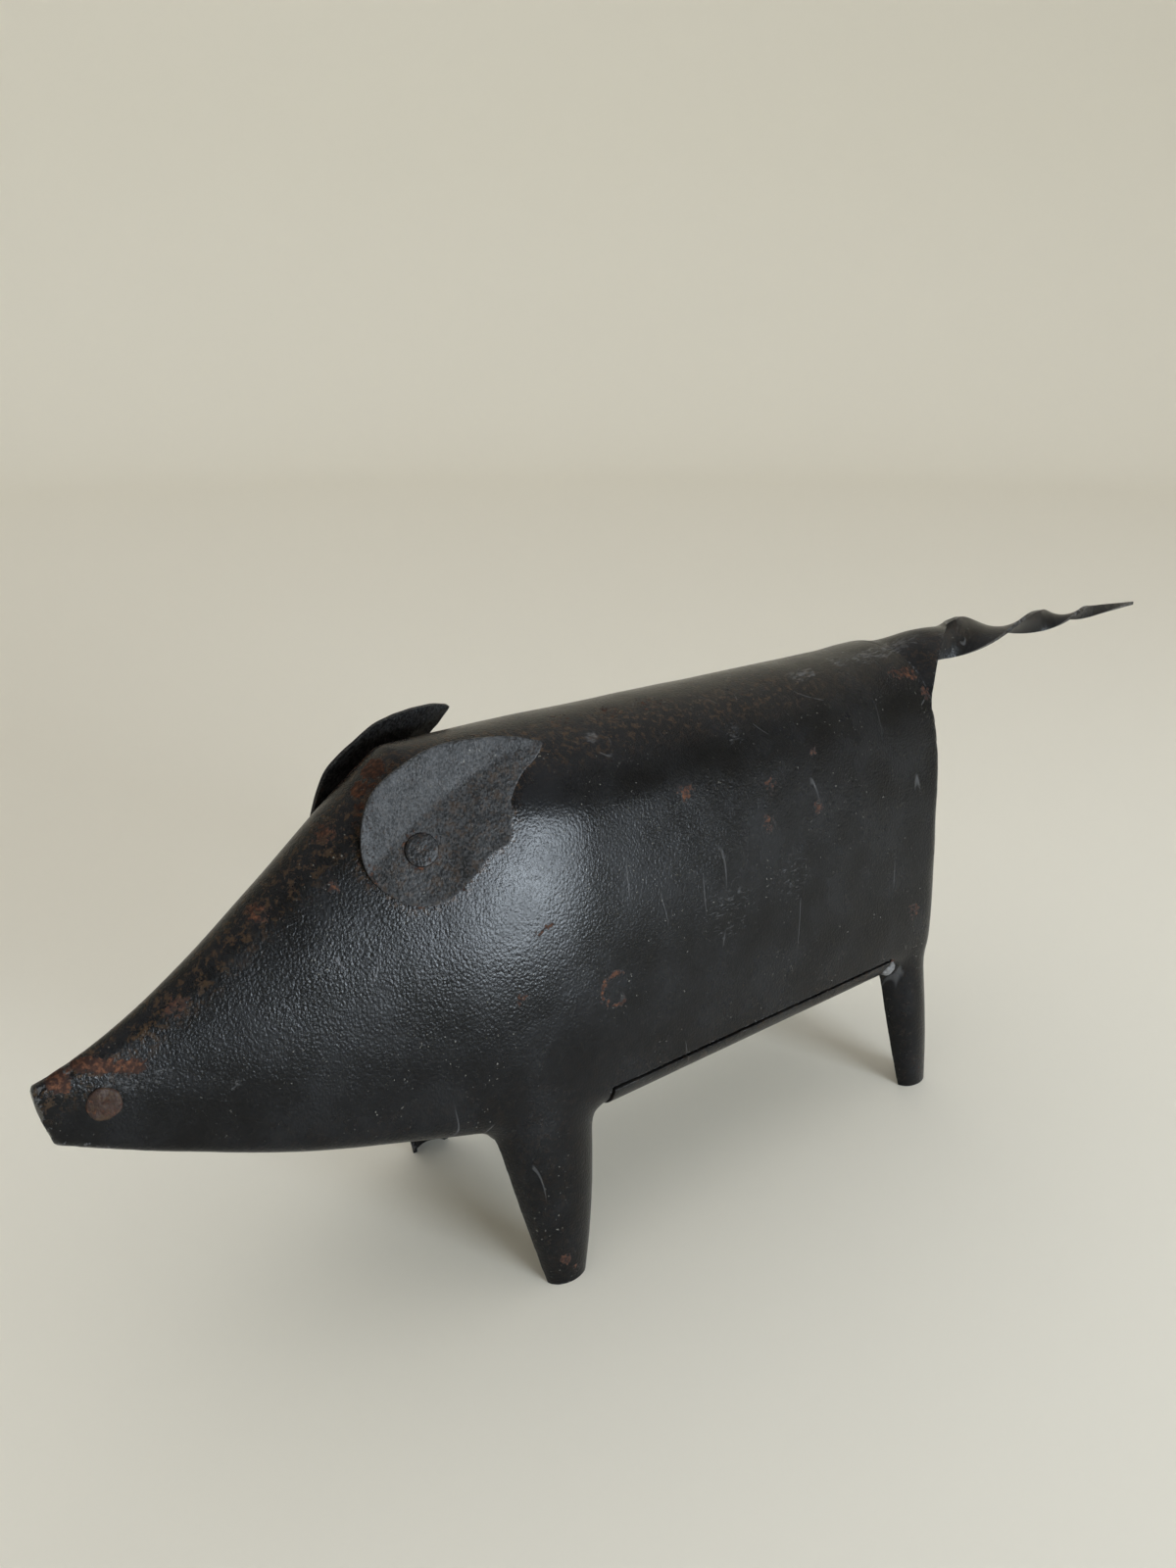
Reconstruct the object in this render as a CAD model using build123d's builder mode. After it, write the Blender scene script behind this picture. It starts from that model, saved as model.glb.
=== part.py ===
# A pig folded and hammered from one sheet of blackened steel, with riveted ears and a belly plate.
# Millimetres. The snout points to -X, the tail to +X, and the feet stand on Z = 0.
import os
from math import atan2, cos, pi, sin, sqrt

from build123d import *

# Lengths along the pig
head_length = 87.0
body_length = 177.0
tail_length = 165.0
shoulder_run = 40.0

# Sheet
sheet_thickness = 1.2
ear_thickness = 1.0

# Heights above the floor
back_height = 142.6
belly_height = 43.5
throat_height = 51.5
snout_bottom_height = 72.0
snout_depth = 13.5
chin_sag = 3.5
snout_dish = 0.65

# Half widths, fold radii over the back and turn radii under the belly
snout_half_width = 1.9
poll_half_width = 29.5
body_half_width = 36.0
snout_fold = 1.8
poll_fold = 13.0
back_fold = 28.0
snout_turn = 1.5
belly_turn = 8.0
rump_corner = 6.0

# Legs: troughs that taper to the foot
knee_height = 28.0
leg_top_drop = 47.6
foot_half_length = 6.4
foot_depth = 4.5
foot_reach = 38.2
knee_depth = 8.5
knee_reach = 37.6
leg_top_depth = 14.0
leg_top_reach = 28.0
front_foot_setback = 25.4
front_knee_setback = 24.8
front_knee_half_length = 12.3
front_top_setback = 19.0
front_top_half_length = 23.0
rear_foot_inset = 5.8
rear_knee_inset = 8.4
rear_knee_half_length = 8.6
rear_top_inset = 13.5
rear_top_half_length = 13.5
trough_lip = 2.6
trough_lip_top = 9.0

# Underside
under_lip = 9.0
closed_snout = 22.0
belly_plate_front = 40.0
belly_plate_rear = 23.5
flange_height = 7.0
slit_gap = 0.8
end_gap = 0.6
rump_seam_gap = 0.6
rump_seam_drop = 30.0
weld_radius = 3.0
weld_bead_height = 1.1
weld_drop = 2.5

# Tail: a strip drawn from the back, at these distances behind the rump after each quarter turn
tail_quarter_turns = (6.0, 42.0, 69.0, 97.0, 113.0, 130.0)
tail_root_depth = 4.0
tail_root_sink = 0.3
tail_root_half_width = 21.0
tail_root_cup = 12.0
tail_root_flare = 1.5
tail_root_flatten = 2.0
tail_neck_half_width = 6.9
tail_neck_cup = 0.6
tail_tip_cup = 0.02
tail_tip_half_width = 0.4
tail_neck_drop = 3.8
tail_tip_drop = 6.0
tail_thickness = 1.2

# Ears: leaves of sheet, measured from the rivet along the pig and up the side of the head
ear_setback = -2.8
ear_drop = 20.6
ear_lobe_radius = 13.4
ear_lobe_end_angle = -65.0
ear_crown_reach = -3.0
ear_crown_rise = 19.0
ear_brow_reach = 16.0
ear_brow_rise = 23.0
ear_tip_reach = 33.0
ear_tip_rise = 18.0
ear_hem_reach = 21.5
ear_hem_rise = 3.0
ear_crease_rise = 2.5
ear_bedding = 0.3

# Rivets
rivet_shank = 4.1
shank_clearance = 0.1
rivet_head_height = 0.7
rivet_tail_height = 1.0
ear_rivet_head = 8.0
ear_rivet_tail = 7.0
snout_rivet_head = 7.3
snout_rivet_setback = 12.5
snout_rivet_rise = 7.0

os.makedirs("parts", exist_ok=True)

overall_length = head_length + body_length + tail_length
snout_x = -overall_length / 2
poll_x = snout_x + head_length
rump_x = poll_x + body_length
snout_top_height = snout_bottom_height + snout_depth
leg_top_height = back_height - leg_top_drop


def blend(start, end, share):
    return start + (end - start) * share


def girth(x):
    """Top, bottom, half width, fold radius and lower turn of the folded section at x."""
    if x <= poll_x:
        share = (x - snout_x) / head_length
        rise = share - snout_dish * share * (1 - share) ** 2
        return (
            blend(snout_top_height, back_height, rise),
            blend(snout_bottom_height, throat_height, share) - chin_sag * sin(pi * share),
            blend(snout_half_width, poll_half_width, share),
            blend(snout_fold, poll_fold, share),
            blend(snout_turn, belly_turn, share),
        )
    share = 1 - max(0.0, 1 - (x - poll_x) / shoulder_run) ** 2
    return (
        back_height,
        blend(throat_height, belly_height, share),
        blend(poll_half_width, body_half_width, share),
        blend(poll_fold, back_fold, share),
        belly_turn,
    )


def folded_section(x, inset):
    """Closed section of the folded sheet at x, moved inwards by inset.

    A fold over the back runs into a long flank arc that is upright where the lower turn begins.
    """
    top, bottom, half_width, fold, turn = girth(x)
    top = top - inset
    bottom = bottom + inset
    half_width = half_width - inset
    fold = fold - inset
    turn = turn - inset
    slope = 2 * atan2(half_width - fold, top - bottom - turn - fold)
    fold_end = (fold * cos(slope), top - fold + fold * sin(slope))
    side_end = (half_width, bottom + turn)
    turn_middle = (half_width - turn + turn * cos(pi / 4), bottom + turn - turn * sin(pi / 4))
    turn_end = (half_width - turn, bottom)
    with BuildSketch(Plane.YZ.offset(x)) as section:
        with BuildLine():
            Line((-turn_end[0], bottom), turn_end)
            ThreePointArc((-fold_end[0], fold_end[1]), (0, top), fold_end)
            for side in (1, -1):
                TangentArc(
                    (side * fold_end[0], fold_end[1]),
                    (side * side_end[0], side_end[1]),
                    tangent=(side * sin(slope), -cos(slope)),
                )
                ThreePointArc(
                    (side * side_end[0], side_end[1]),
                    (side * turn_middle[0], turn_middle[1]),
                    (side * turn_end[0], bottom),
                )
        make_face()
    return section.sketch


loft_shares = (0.0, 1 / 3, 2 / 3, 1.0)
barrel_x = poll_x + shoulder_run


def folded_form(inset):
    """Solid of the folded head and body, its skin moved inwards by inset."""
    with BuildPart() as form:
        extrude(folded_section(barrel_x, inset), amount=rump_x - inset - barrel_x)
        rear_face = form.faces().sort_by(Axis.X)[-1]
        fillet(rear_face.edges(), radius=rump_corner - inset)
        for start_x, end_x in ((snout_x, poll_x), (poll_x, barrel_x)):
            loft(sections=[folded_section(blend(start_x, end_x, share), inset) for share in loft_shares])
    return form.part


outer_form = folded_form(0.0)
inner_form = folded_form(sheet_thickness)


def leg_form(levels, inset):
    """Tapered leg on the near side, through ellipses given as height, x, half length, depth and reach."""
    with BuildPart() as leg:
        for height, x, half_length, depth, reach in levels:
            with BuildSketch(Plane.XY.offset(height)):
                with Locations((x, depth - reach)):
                    Ellipse(half_length - inset, depth - inset)
        loft()
    return leg.part


front_levels = [
    (0.0, poll_x + front_foot_setback, foot_half_length, foot_depth, foot_reach),
    (knee_height, poll_x + front_knee_setback, front_knee_half_length, knee_depth, knee_reach),
    (leg_top_height, poll_x + front_top_setback, front_top_half_length, leg_top_depth, leg_top_reach),
]
rear_levels = [
    (0.0, rump_x - rear_foot_inset, foot_half_length, foot_depth, foot_reach),
    (knee_height, rump_x - rear_knee_inset, rear_knee_half_length, knee_depth, knee_reach),
    (leg_top_height, rump_x - rear_top_inset, rear_top_half_length, leg_top_depth, leg_top_reach),
]
belly_front_x = poll_x + belly_plate_front
belly_rear_x = rump_x - belly_plate_rear
belly_plate_length = belly_rear_x - belly_front_x
flange_top = belly_height + flange_height
wide = 2 * (body_half_width + foot_reach)

# Solid that cuts away the inner half of every leg, so that each one is an open trough
with BuildPart() as trough_space:
    with BuildSketch(Plane.YZ.offset(poll_x)):
        with BuildLine():
            Polyline(
                (-(foot_reach - trough_lip), 0),
                (foot_reach - trough_lip, 0),
                (body_half_width - trough_lip_top, belly_height + sheet_thickness),
                (-(body_half_width - trough_lip_top), belly_height + sheet_thickness),
                close=True,
            )
        make_face()
    extrude(amount=body_length + rear_top_half_length)

# Opening along the underside, between the turned-in lips
with BuildPart() as under_opening:
    with BuildSketch(Plane.XY):
        with BuildLine():
            Polyline(
                (snout_x + closed_snout, 0),
                (poll_x, poll_half_width - under_lip),
                (poll_x + shoulder_run, body_half_width - under_lip),
                (rump_x - under_lip, body_half_width - under_lip),
                (rump_x - under_lip, under_lip - body_half_width),
                (poll_x + shoulder_run, under_lip - body_half_width),
                (poll_x, under_lip - poll_half_width),
                close=True,
            )
        make_face()
    extrude(amount=snout_bottom_height)


def tail_section(behind, turn):
    """Cross-section of the tail strip at a distance behind the rump, turned about the tail's axis.

    The strip starts as wide and as arched as the back, and is a flat neck after its first quarter turn.
    """
    neck = tail_quarter_turns[1]
    neck_height = back_height - tail_neck_drop
    tip_height = back_height - tail_tip_drop
    if behind < neck:
        root_share = 1 - max(0.0, behind) / neck
        half_width = blend(tail_neck_half_width, tail_root_half_width, root_share ** tail_root_flare)
        cup = blend(tail_neck_cup, tail_root_cup, root_share ** tail_root_flatten)
        root_height = back_height - tail_thickness - tail_root_sink
        height = blend(neck_height, root_height, root_share ** tail_root_flare)
    else:
        tip_share = (behind - neck) / (tail_length - neck)
        half_width = blend(tail_neck_half_width, tail_tip_half_width, tip_share)
        cup = blend(tail_neck_cup, tail_tip_cup, tip_share)
        height = blend(neck_height, tip_height, tip_share)
    plane = Plane((rump_x + behind, 0, height), x_dir=(0, cos(turn), sin(turn)), z_dir=(1, 0, 0))
    with BuildSketch(plane) as section:
        with BuildLine():
            Line((half_width, -cup), (half_width, tail_thickness - cup))
            Line((-half_width, tail_thickness - cup), (-half_width, -cup))
            for face in (0.0, tail_thickness):
                Spline((-half_width, face - cup), (0, face), (half_width, face - cup))
        make_face()
    return section.sketch


quarter_turn = -pi / 2
tail_stops = [(-tail_root_depth, 0.0)]
tail_stops += [(behind, quarter * quarter_turn) for quarter, behind in enumerate(tail_quarter_turns)]
tail_stops += [(tail_length, len(tail_quarter_turns) * quarter_turn)]


def tail_run(start, end):
    """Sections of the tail strip from one stop to the next."""
    sections = []
    for share in loft_shares:
        behind = blend(start[0], end[0], share)
        turn = blend(start[1], end[1], share)
        sections.append(tail_section(behind, turn))
    return sections


# Place of the ear on the near side of the head: its rivet stands square to the skin there
ear_skin, ear_normal = outer_form.find_intersection_points(
    Axis((poll_x + ear_setback, -wide, back_height - ear_drop), (0, 1, 0))
)[0]
ear_seat = ear_skin - ear_normal * ear_bedding
ear_along = (Vector(1, 0, 0) - ear_normal * ear_normal.X).normalized()
ear_plane = Plane(ear_seat, x_dir=ear_along, z_dir=ear_normal)
shank_hole = rivet_shank / 2 + shank_clearance
snout_rivet_place = (snout_x + snout_rivet_setback, 0, snout_bottom_height + snout_rivet_rise)
across = (90, 0, 0)

with BuildPart() as ear_rivet_bore:
    with BuildSketch(ear_plane.offset(-2 * sheet_thickness - ear_bedding)):
        Circle(shank_hole)
    extrude(amount=4 * sheet_thickness + ear_bedding)

# Folded sheet: head, flanks, legs, rump and tail in one piece
with BuildPart() as body_sheet:
    add(outer_form)
    for levels in (front_levels, rear_levels):
        add(leg_form(levels, 0.0))
        mirror(leg_form(levels, 0.0), about=Plane.XZ)
    add(inner_form, mode=Mode.SUBTRACT)
    for levels in (front_levels, rear_levels):
        add(leg_form(levels, sheet_thickness), mode=Mode.SUBTRACT)
        mirror(leg_form(levels, sheet_thickness), about=Plane.XZ, mode=Mode.SUBTRACT)
    add(trough_space.part, mode=Mode.SUBTRACT)
    add(under_opening.part, mode=Mode.SUBTRACT)
    with Locations(((belly_front_x + belly_rear_x) / 2, 0, 0)):
        Box(
            belly_plate_length,
            wide,
            flange_top + slit_gap,
            align=(Align.CENTER, Align.CENTER, Align.MIN),
            mode=Mode.SUBTRACT,
        )
    with Locations((rump_x, 0, 0)):
        Box(
            2 * rump_corner,
            rump_seam_gap,
            back_height - rump_seam_drop,
            align=(Align.CENTER, Align.CENTER, Align.MIN),
            mode=Mode.SUBTRACT,
        )
    for start, end in zip(tail_stops, tail_stops[1:]):
        loft(sections=tail_run(start, end))
    add(ear_rivet_bore.part, mode=Mode.SUBTRACT)
    mirror(ear_rivet_bore.part, about=Plane.XZ, mode=Mode.SUBTRACT)
    with Locations(snout_rivet_place):
        Cylinder(shank_hole, wide, rotation=across, mode=Mode.SUBTRACT)
body_sheet.part.label = "body_sheet"
export_step(body_sheet.part, "parts/body_sheet.step")

# Pan that closes the underside between the legs, its turned-up edges flush with the flanks
with BuildPart() as belly_plate:
    add(outer_form)
    add(inner_form, mode=Mode.SUBTRACT)
    with Locations(((belly_front_x + belly_rear_x) / 2, 0, 0)):
        Box(
            belly_plate_length - 2 * end_gap,
            wide,
            flange_top,
            align=(Align.CENTER, Align.CENTER, Align.MIN),
            mode=Mode.INTERSECT,
        )
belly_plate.part.label = "belly_plate"
export_step(belly_plate.part, "parts/belly_plate.step")

# Weld beads at the rear corners of the belly plate, on the skin of the lower turn
weld_rise = flange_height - weld_drop
weld_skin = body_half_width - belly_turn + sqrt(belly_turn ** 2 - (belly_turn - weld_rise) ** 2)
weld_y = weld_skin + weld_bead_height - weld_radius
with BuildPart() as belly_tack_welds:
    for side in (1, -1):
        with Locations((belly_rear_x - end_gap / 2, side * weld_y, belly_height + weld_rise)):
            Sphere(weld_radius)
    add(outer_form, mode=Mode.SUBTRACT)
    add(leg_form(rear_levels, 0.0), mode=Mode.SUBTRACT)
    mirror(leg_form(rear_levels, 0.0), about=Plane.XZ, mode=Mode.SUBTRACT)
belly_tack_welds.part.label = "belly_tack_welds"
export_step(belly_tack_welds.part, "parts/belly_tack_welds.step")

# Leaf outline of the ear, as a block through which the creased sheet is cut
ear_tip = (ear_tip_reach, ear_tip_rise)
lobe_end_angle = ear_lobe_end_angle * pi / 180
lobe_end = (ear_lobe_radius * cos(lobe_end_angle), ear_lobe_radius * sin(lobe_end_angle))
lobe_middle_angle = (lobe_end_angle - pi) / 2
lobe_middle = (ear_lobe_radius * cos(lobe_middle_angle), ear_lobe_radius * sin(lobe_middle_angle))
ear_block_depth = 2 * (ear_thickness + ear_crease_rise)
with BuildPart() as ear_block:
    with BuildSketch(ear_plane.offset(-ear_block_depth / 2)):
        with BuildLine():
            ThreePointArc((-ear_lobe_radius, 0), lobe_middle, lobe_end)
            Spline(lobe_end, (ear_hem_reach, ear_hem_rise), ear_tip)
            Spline(
                ear_tip,
                (ear_brow_reach, ear_brow_rise),
                (ear_crown_reach, ear_crown_rise),
                (-ear_lobe_radius, 0),
            )
        make_face()
    extrude(amount=2 * ear_block_depth)

# Creased sheet: flat around the rivet, raised along a line from the rivet to the tip
crease_along = (ear_along * ear_tip_reach + ear_plane.y_dir * ear_tip_rise).normalized()
crease_length = sqrt(ear_tip_reach ** 2 + ear_tip_rise ** 2)
ear_span = 2 * ear_lobe_radius
flat_rise = 0.01


def creased_section(along, rise):
    """Section of the ear sheet across its crease, at a distance along it from the rivet."""
    plane = Plane(ear_seat + crease_along * along, x_dir=crease_along.cross(ear_normal), z_dir=crease_along)
    up = 1 if plane.y_dir.dot(ear_normal) > 0 else -1
    with BuildSketch(plane) as section:
        with BuildLine():
            Polyline(
                (-ear_span, 0),
                (0, up * rise),
                (ear_span, 0),
                (ear_span, up * ear_thickness),
                (0, up * (rise + ear_thickness)),
                (-ear_span, up * ear_thickness),
                close=True,
            )
        make_face()
    return section.sketch


lobe_section = creased_section(-ear_span, flat_rise)
crease_start = creased_section(ear_rivet_head / 2, flat_rise)
crease_end = creased_section(crease_length, ear_crease_rise)
with BuildPart() as left_ear:
    loft(sections=[lobe_section, crease_start], ruled=True)
    loft(sections=[crease_start, crease_end], ruled=True)
    add(ear_block.part, mode=Mode.INTERSECT)
    add(outer_form, mode=Mode.SUBTRACT)
    add(ear_rivet_bore.part, mode=Mode.SUBTRACT)
left_ear.part.label = "left_ear"
export_step(left_ear.part, "parts/left_ear.step")

with BuildPart() as right_ear:
    mirror(left_ear.part, about=Plane.XZ)
right_ear.part.label = "right_ear"
export_step(right_ear.part, "parts/right_ear.step")

# Ear rivets: a flat head on the ear, a shank through both sheets and a spread tail inside the head
head_plane = ear_plane.offset(ear_thickness + flat_rise)
with BuildPart() as left_ear_rivet:
    with BuildSketch(head_plane):
        Circle(ear_rivet_head / 2)
    extrude(amount=rivet_head_height)
    with BuildSketch(head_plane):
        Circle(rivet_shank / 2)
    extrude(amount=-(ear_thickness + sheet_thickness + rivet_tail_height))
    with BuildSketch(ear_plane.offset(ear_bedding - sheet_thickness)):
        Circle(ear_rivet_tail / 2)
    extrude(amount=-rivet_tail_height - ear_bedding)
    add(body_sheet.part, mode=Mode.SUBTRACT)
    add(left_ear.part, mode=Mode.SUBTRACT)
left_ear_rivet.part.label = "left_ear_rivet"
export_step(left_ear_rivet.part, "parts/left_ear_rivet.step")

with BuildPart() as right_ear_rivet:
    mirror(left_ear_rivet.part, about=Plane.XZ)
right_ear_rivet.part.label = "right_ear_rivet"
export_step(right_ear_rivet.part, "parts/right_ear_rivet.step")

# Snout rivet: a shank across the snout, with heads that follow the slanting sides
with BuildPart() as snout_core:
    add(outer_form)
    with Locations(snout_rivet_place):
        Cylinder(rivet_shank / 2, wide, rotation=across, mode=Mode.SUBTRACT)

with BuildPart() as snout_rivet:
    add(folded_form(-rivet_head_height))
    with Locations(snout_rivet_place):
        Cylinder(snout_rivet_head / 2, wide, rotation=across, mode=Mode.INTERSECT)
    add(snout_core.part, mode=Mode.SUBTRACT)
snout_rivet.part.label = "snout_rivet"
export_step(snout_rivet.part, "parts/snout_rivet.step")
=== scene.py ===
"""A pig folded and hammered from blackened sheet steel, with riveted ears and a twisted strip tail."""
from math import acos, atan2, cos, pi, radians, sin, sqrt

import bmesh
import bpy
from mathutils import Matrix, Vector, noise


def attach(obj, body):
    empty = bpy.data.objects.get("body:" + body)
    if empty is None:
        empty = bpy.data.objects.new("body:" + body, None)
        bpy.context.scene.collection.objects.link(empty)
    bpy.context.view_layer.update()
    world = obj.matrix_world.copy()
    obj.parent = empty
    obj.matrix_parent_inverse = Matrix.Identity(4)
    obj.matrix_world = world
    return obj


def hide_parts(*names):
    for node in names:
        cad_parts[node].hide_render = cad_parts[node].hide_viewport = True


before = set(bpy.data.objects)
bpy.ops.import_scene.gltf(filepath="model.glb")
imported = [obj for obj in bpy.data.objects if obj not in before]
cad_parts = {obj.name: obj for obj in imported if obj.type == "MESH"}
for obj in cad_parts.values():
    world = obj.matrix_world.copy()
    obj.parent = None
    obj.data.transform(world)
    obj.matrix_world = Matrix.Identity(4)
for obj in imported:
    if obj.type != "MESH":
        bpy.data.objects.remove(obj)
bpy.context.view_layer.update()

# Sizes in millimetres, most of them as the solids have them. The lower throat, the raked snout, the crisp
# rump and the tail's hump and scoop are the scene's own. The snout points to -X, and the feet are on Z = 0.
mm = 0.001
head_length = 87.0
body_length = 177.0
tail_length = 165.0
shoulder_run = 40.0
sheet_thickness = 1.2
back_height = 142.6
belly_height = 43.5
throat_height = 47.5
snout_top_height = 85.5
snout_bottom_height = 72.0
chin_sag = 3.5
snout_dish = 0.65
snout_half_width = 1.9
poll_half_width = 29.5
body_half_width = 36.0
snout_fold = 1.8
poll_fold = 13.0
back_fold = 28.0
snout_turn = 1.5
belly_turn = 8.0
rump_corner = 6.0
crisp_corner = 1.5
snout_rake = 2.6
tail_lift = 0.6
tail_lift_start = 18.0
tail_lift_end = 2.0

snout_x = -(head_length + body_length + tail_length) / 2
poll_x = snout_x + head_length
rump_x = poll_x + body_length

# Legs: height, x, half length, depth and reach at the foot, the knee and the hidden top
leg_top = 95.0
front_leg = (
    (0.0, poll_x + 25.4, 6.4, 4.5, 38.2),
    (28.0, poll_x + 24.8, 12.3, 8.5, 37.6),
    (leg_top, poll_x + 19.0, 23.0, 14.0, 28.0),
)
rear_leg = (
    (0.0, rump_x - 5.8, 6.4, 4.5, 38.2),
    (28.0, rump_x - 8.4, 8.6, 8.5, 37.6),
    (leg_top, rump_x - 13.5, 13.5, 14.0, 28.0),
)
trough_lip = 2.6
trough_lip_top = 9.0

# Underside
under_lip = 9.0
closed_snout = 22.0
belly_front_x = poll_x + 40.0
belly_rear_x = rump_x - 23.5
flange_height = 7.0
slit_gap = 0.8
end_gap = 0.6
rump_seam_gap = 0.6
rump_seam_drop = 30.0
weld_drop = 2.5

# Tail: its stops are distances behind the rump, each with the quarter turns made up to there
tail_end = tail_length - 0.1
tail_stops = ((-3.0, 0), (0.0, 0), (42.0, 1), (69.0, 2), (97.0, 3), (113.0, 4), (130.0, 5), (tail_end, 6))
tail_root_half_width = 26.5
tail_root_flare = 2.1
tail_root_fall = 1.5
tail_hump = 2.6
tail_hump_place = 15.0
tail_hump_end = 36.0
tail_scoop = 1.18
tail_scoop_full = 12.0
tail_scoop_fade = 24.0
tail_scoop_end = 40.0
tail_root_proud = 0.03
tail_root_sink = 0.3
tail_neck_half_width = 6.9
tail_tip_half_width = 0.4
tail_neck_height = 138.8
tail_tip_height = 136.6


def deselect():
    bpy.ops.object.select_all(action="DESELECT")


def pick(piece):
    deselect()
    piece.select_set(True)
    bpy.context.view_layer.objects.active = piece


def finish_with(piece, kind, **settings):
    """Adds one modifier to a piece and applies it."""
    pick(piece)
    modifier = piece.modifiers.new(kind.lower(), kind)
    for setting, value in settings.items():
        setattr(modifier, setting, value)
    bpy.ops.object.modifier_apply(modifier=modifier.name)


def blend(start, end, share):
    return start + (end - start) * share


def ease(value, low, high):
    """Rises smoothly from 0 at low to 1 at high."""
    share = min(max((value - low) / (high - low), 0.0), 1.0)
    return share * share * (3 - 2 * share)


def girth(x):
    """Top, bottom, half width, fold radius and lower turn of the folded section at x."""
    if x <= poll_x:
        share = (x - snout_x) / head_length
        rise = share - snout_dish * share * (1 - share) ** 2
        return (
            blend(snout_top_height, back_height, rise),
            blend(snout_bottom_height, throat_height, share) - chin_sag * sin(pi * share),
            blend(snout_half_width, poll_half_width, share),
            blend(snout_fold, poll_fold, share),
            blend(snout_turn, belly_turn, share),
        )
    share = 1 - max(0.0, 1 - (x - poll_x) / shoulder_run) ** 2
    return (
        back_height + tail_lift * ease(x, rump_x - tail_lift_start, rump_x - tail_lift_end),
        blend(throat_height, belly_height, share),
        blend(poll_half_width, body_half_width, share),
        blend(poll_fold, back_fold, share),
        belly_turn,
    )


# Shares of the half girth, from the middle of the underside up to the crest of the back
under_share = 0.14
turn_share = 0.24
flank_share = 0.76


def skin_point(x, half_share, inset):
    """Distance from the middle and height of the skin at x, moved inwards by inset."""
    top, bottom, half_width, fold, turn = girth(x)
    top = top - inset
    bottom = bottom + inset
    half_width = half_width - inset
    fold = max(fold - inset, 0.1)
    turn = max(turn - inset, 0.1)
    slope = 2 * atan2(half_width - fold, top - bottom - turn - fold)
    flank = (half_width - fold * cos(slope)) / (1 - cos(slope))
    if half_share < under_share:
        return (half_width - turn) * half_share / under_share, bottom
    if half_share < turn_share:
        angle = pi / 2 * (half_share - under_share) / (turn_share - under_share)
        return half_width - turn + turn * sin(angle), bottom + turn - turn * cos(angle)
    if half_share < flank_share:
        angle = slope * (half_share - turn_share) / (flank_share - turn_share)
        return half_width - flank + flank * cos(angle), bottom + turn + flank * sin(angle)
    angle = blend(slope, pi / 2, (half_share - flank_share) / (1 - flank_share))
    return fold * cos(angle), top - fold + fold * sin(angle)


def skin_y(x, z):
    """Distance of the flank's skin from the middle at a place along the pig and a height."""
    top, bottom, half_width, fold, turn = girth(x)
    slope = 2 * atan2(half_width - fold, top - bottom - turn - fold)
    flank = (half_width - fold * cos(slope)) / (1 - cos(slope))
    if z > top - fold + fold * sin(slope):
        return sqrt(max(0.0, fold ** 2 - (z - top + fold) ** 2))
    return half_width - flank + sqrt(flank ** 2 - (z - bottom - turn) ** 2)


class Seat:
    """A place on the near flank, with directions along the pig, up the skin and out of it."""

    def __init__(self, x, z):
        step = 0.05
        along_slope = (skin_y(x + step, z) - skin_y(x - step, z)) / (2 * step)
        up_slope = (skin_y(x, z + step) - skin_y(x, z - step)) / (2 * step)
        self.point = Vector((x, -skin_y(x, z), z))
        self.out = Vector((-along_slope, -1, -up_slope)).normalized()
        self.along = (Vector((1, 0, 0)) - self.out * self.out.x).normalized()
        self.up = self.out.cross(self.along)

    def at(self, along, up, out):
        return self.point + self.along * along + self.up * up + self.out * out

    def measure(self, point):
        """Distances along, up and out from the seat to a point."""
        reach = point - self.point
        return reach.dot(self.along), reach.dot(self.up), reach.dot(self.out)


def bent_sheet(name, columns, rows, place):
    """A flat grid, bent by moving each point from its two shares to its place in millimetres."""
    deselect()
    bpy.ops.mesh.primitive_grid_add(x_subdivisions=columns, y_subdivisions=rows, size=1)
    sheet = bpy.context.object
    sheet.name = name
    for vertex in sheet.data.vertices:
        vertex.co = Vector(place(vertex.co.x + 0.5, vertex.co.y + 0.5)) * mm
    return sheet


def close_up(piece):
    """Joins the seam of a bent sheet, fills its ends and turns its faces outwards."""
    pick(piece)
    bpy.ops.object.mode_set(mode="EDIT")
    bpy.ops.mesh.select_all(action="SELECT")
    bpy.ops.mesh.remove_doubles(threshold=0.00001)
    bpy.ops.mesh.fill_holes(sides=0)
    bpy.ops.mesh.select_all(action="SELECT")
    bpy.ops.mesh.normals_make_consistent(inside=False)
    bpy.ops.object.mode_set(mode="OBJECT")


def face_towards(piece, direction):
    """Merges an open sheet's seam and turns all its faces to the side that direction points to."""
    pick(piece)
    bpy.ops.object.mode_set(mode="EDIT")
    bpy.ops.mesh.select_all(action="SELECT")
    bpy.ops.mesh.remove_doubles(threshold=0.00001)
    bpy.ops.mesh.normals_make_consistent(inside=False)
    bpy.ops.object.mode_set(mode="OBJECT")
    middle_face = piece.data.polygons[len(piece.data.polygons) // 2]
    if middle_face.normal.dot(direction) < 0:
        piece.data.flip_normals()


def join(pieces):
    deselect()
    for piece in pieces:
        piece.select_set(True)
    bpy.context.view_layer.objects.active = pieces[0]
    bpy.ops.object.join()
    return pieces[0]


def copy_of(piece, name):
    pick(piece)
    bpy.ops.object.duplicate()
    copy = bpy.context.object
    copy.name = name
    return copy


def mirrored(piece, name):
    """Copy of a near-side piece on the far side, with its own mesh and its faces turned outwards again."""
    other = copy_of(piece, name)
    for vertex in other.data.vertices:
        vertex.co.y = -vertex.co.y
    other.data.flip_normals()
    return other


# Share of the hull's length where the rump's turn starts, and of the half girth where that turn gets crisp
rump_turn_share = 0.95
crisp_start = 0.5
crisp_end = 0.7


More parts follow.
